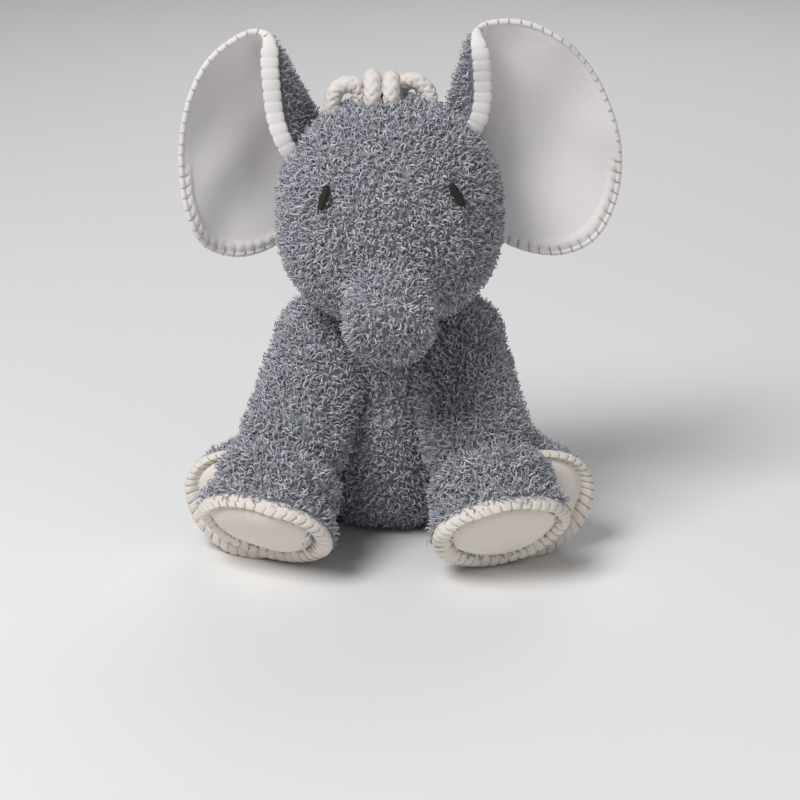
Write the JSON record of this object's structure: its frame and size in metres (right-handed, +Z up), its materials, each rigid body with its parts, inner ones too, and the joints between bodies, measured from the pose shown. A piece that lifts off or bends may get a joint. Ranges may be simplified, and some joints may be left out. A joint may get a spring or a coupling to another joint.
{
  "type": "stuffed elephant",
  "caption": "Sitting plush elephant with large cupped ears, a short stuffed trunk, padded soles with blanket stitches, and a crest of braided cord loops",
  "frame": {"origin": "on the floor, in the middle of the flat seat that the elephant sits on", "axes": "+Z up; the elephant faces -Y, so its left side is +X and its tail points to +Y"},
  "size_m": [0.2449, 0.2319, 0.2861],
  "materials": {
    "grey_plush": "curly teddy fleece, matt",
    "white_fleece": "short smooth fleece, matt",
    "cream_fleece": "short smooth fleece, matt",
    "stitch_thread": "matt cotton thread",
    "eye_thread": "satin-stitched thread, slight sheen",
    "braided_cord": "soft braided cotton, matt",
    "fibre_filling": "loose polyester fibre",
    "bag_cloth": "plain woven cotton, matt"
  },
  "bodies": {
    "body": {"body_skin": "grey_plush", "body_stuffing": "fibre_filling", "seat_bean_bag": "bag_cloth"},
    "neck": {"neck_stuffing": "fibre_filling"},
    "head": {"head_skin": "grey_plush", "head_stuffing": "fibre_filling", "eye_left": "eye_thread", "eye_right": "eye_thread", "hair_loop_1": "braided_cord", "hair_loop_2": "braided_cord", "hair_loop_3": "braided_cord", "hair_loop_4": "braided_cord"},
    "trunk": {"trunk_skin": "grey_plush", "trunk_stuffing": "fibre_filling"},
    "ear_left": {"ear_left_front": "white_fleece", "ear_left_back": "grey_plush", "ear_left_stitches": "stitch_thread"},
    "ear_right": {"ear_right_front": "white_fleece", "ear_right_back": "grey_plush", "ear_right_stitches": "stitch_thread"},
    "front_leg_left": {"front_leg_left_skin": "grey_plush", "front_leg_left_stuffing": "fibre_filling", "front_leg_left_sole": "cream_fleece", "front_leg_left_sole_pad": "cream_fleece", "front_leg_left_stitches": "stitch_thread"},
    "front_leg_right": {"front_leg_right_skin": "grey_plush", "front_leg_right_stuffing": "fibre_filling", "front_leg_right_sole": "cream_fleece", "front_leg_right_sole_pad": "cream_fleece", "front_leg_right_stitches": "stitch_thread"},
    "hind_leg_left": {"hind_leg_left_skin": "grey_plush", "hind_leg_left_stuffing": "fibre_filling", "hind_leg_left_sole": "cream_fleece", "hind_leg_left_sole_pad": "cream_fleece", "hind_leg_left_stitches": "stitch_thread"},
    "hind_leg_right": {"hind_leg_right_skin": "grey_plush", "hind_leg_right_stuffing": "fibre_filling", "hind_leg_right_sole": "cream_fleece", "hind_leg_right_sole_pad": "cream_fleece", "hind_leg_right_stitches": "stitch_thread"},
    "tail": {"tail_skin": "grey_plush", "tail_stuffing": "fibre_filling"}
  },
  "joints": [
    {"name": "neck_turn", "type": "hinge", "parent": "body", "child": "neck", "pos_m": [0, -0.014, 0.139], "axis": [0, 0, 1], "range_deg": [-25, 25], "stiffness_Nm_per_rad": 2},
    {"name": "head_nod", "type": "hinge", "parent": "neck", "child": "head", "pos_m": [0, -0.014, 0.139], "axis": [-1, 0, 0], "range_deg": [-12, 15], "stiffness_Nm_per_rad": 2},
    {"name": "trunk_bend", "type": "hinge", "parent": "head", "child": "trunk", "pos_m": [0, -0.08873, 0.16088], "axis": [-1, 0, 0], "range_deg": [-18, 18], "stiffness_Nm_per_rad": 0.3},
    {"name": "ear_left_flap", "type": "hinge", "parent": "head", "child": "ear_left", "pos_m": [0.055, -0.012, 0.22], "axis": [0, 0, -1], "range_deg": [-20, 30], "stiffness_Nm_per_rad": 0.1},
    {"name": "ear_right_flap", "type": "hinge", "parent": "head", "child": "ear_right", "pos_m": [-0.055, -0.012, 0.22], "axis": [0, 0, 1], "range_deg": [-26, 20], "stiffness_Nm_per_rad": 0.1},
    {"name": "front_leg_left_swing", "type": "hinge", "parent": "body", "child": "front_leg_left", "pos_m": [0.036, -0.026, 0.09615], "axis": [-1, 0, 0], "range_deg": [0, 35], "stiffness_Nm_per_rad": 1},
    {"name": "front_leg_right_swing", "type": "hinge", "parent": "body", "child": "front_leg_right", "pos_m": [-0.036, -0.026, 0.09944], "axis": [-1, 0, 0], "range_deg": [0, 35], "stiffness_Nm_per_rad": 1},
    {"name": "hind_leg_left_spread", "type": "hinge", "parent": "body", "child": "hind_leg_left", "pos_m": [0.049, 0.004, 0.03828], "axis": [0, 0, 1], "range_deg": [0, 24], "stiffness_Nm_per_rad": 0.8},
    {"name": "hind_leg_right_spread", "type": "hinge", "parent": "body", "child": "hind_leg_right", "pos_m": [-0.049, 0.004, 0.03828], "axis": [0, 0, -1], "range_deg": [0, 24], "stiffness_Nm_per_rad": 0.8},
    {"name": "tail_lift", "type": "hinge", "parent": "body", "child": "tail", "pos_m": [0, 0.06, 0.062], "axis": [1, 0, 0], "range_deg": [-5, 35], "stiffness_Nm_per_rad": 0.06}
  ]
}
